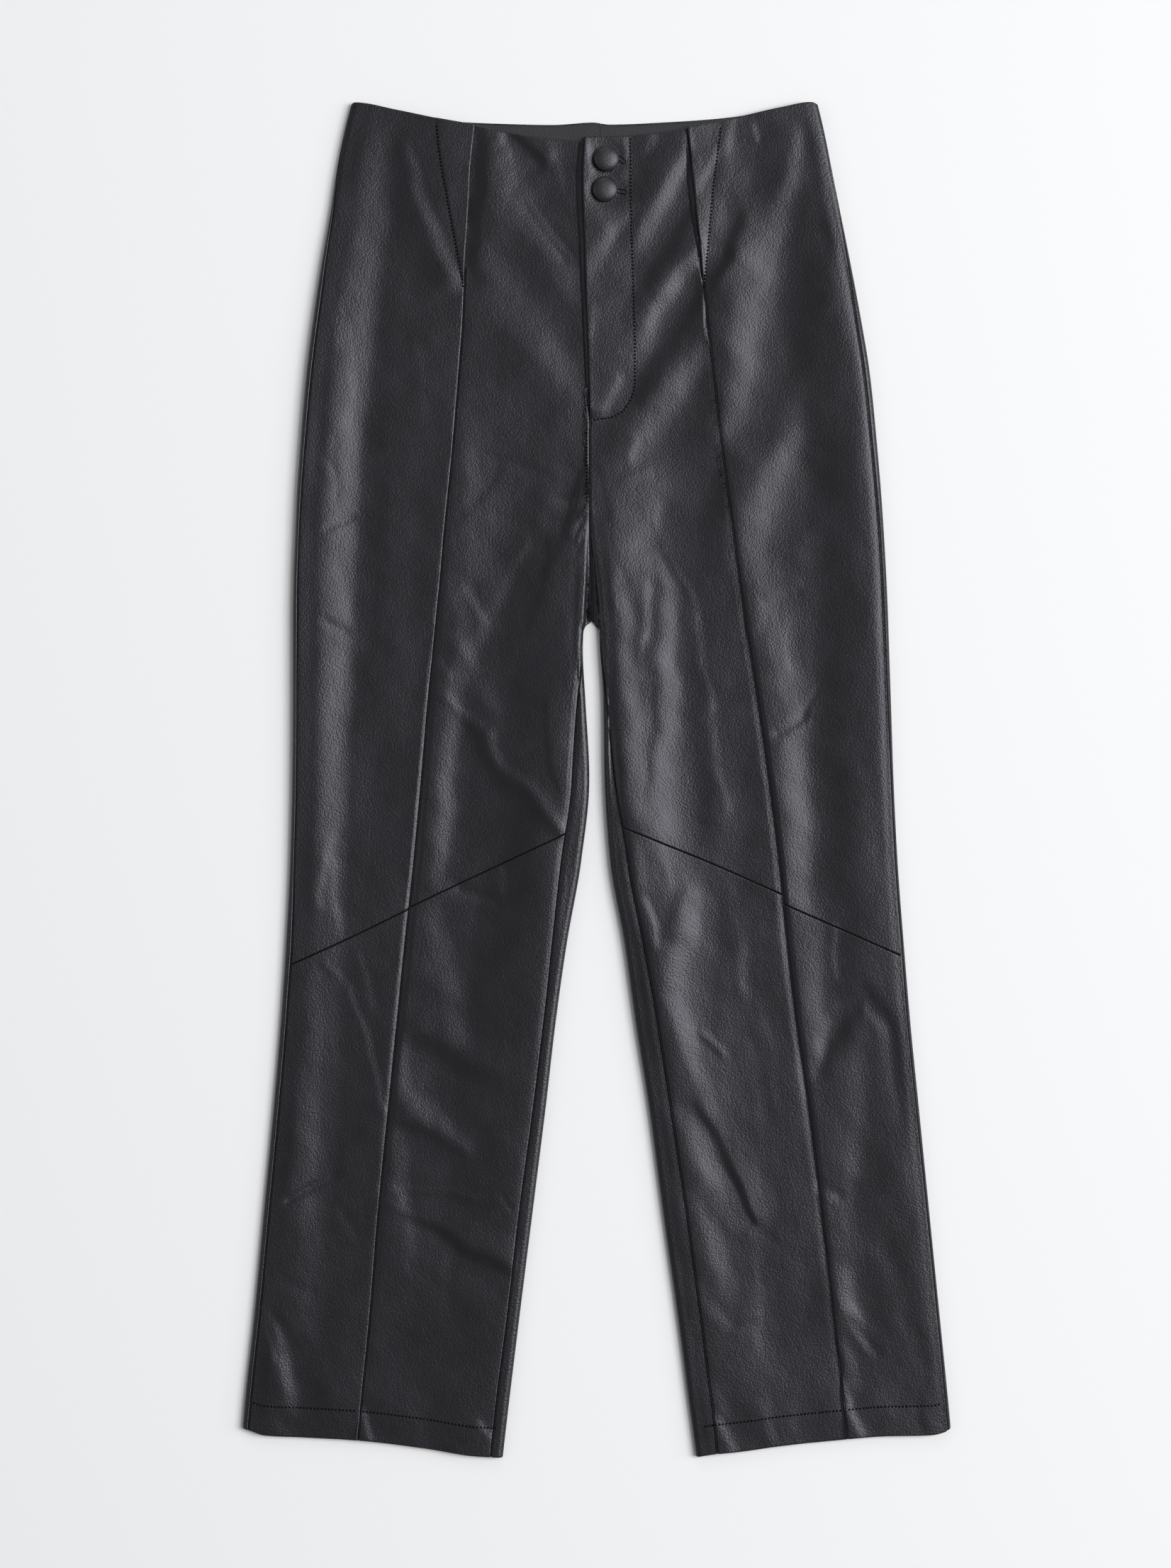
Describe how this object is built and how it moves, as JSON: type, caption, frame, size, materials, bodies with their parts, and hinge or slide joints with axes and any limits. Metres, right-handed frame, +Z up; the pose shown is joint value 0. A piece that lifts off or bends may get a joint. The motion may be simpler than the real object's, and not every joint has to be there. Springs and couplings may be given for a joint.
{
  "type": "faux leather trousers",
  "caption": "High-waisted ankle-length faux leather trousers laid flat, with waist tucks, a buttoned fly, front seams, slanting knee seams and turned-up hems.",
  "frame": {"origin": "on the surface that the trousers lie on, under the middle of the bounding box", "axes": "+Y towards the waist, +X to the right of someone looking down on the front, which is the wearer's left leg, +Z up out of the front"},
  "size_m": [0.5228, 1.0006, 0.0119],
  "materials": {
    "faux_leather": "satin",
    "waist_facing": "satin",
    "button_cover": "satin"
  },
  "bodies": {
    "root": {"front_side_upper_right": "faux_leather", "front_side_upper_left": "faux_leather", "front_centre_upper_right": "faux_leather", "front_centre_upper_left": "faux_leather", "front_side_lower_right": "faux_leather", "front_side_lower_left": "faux_leather", "front_centre_lower_right": "faux_leather", "front_centre_lower_left": "faux_leather", "back_right": "faux_leather", "back_left": "faux_leather", "back_facing_right": "waist_facing", "back_facing_left": "waist_facing", "button_upper": "button_cover", "button_lower": "button_cover"}
  },
  "joints": []
}
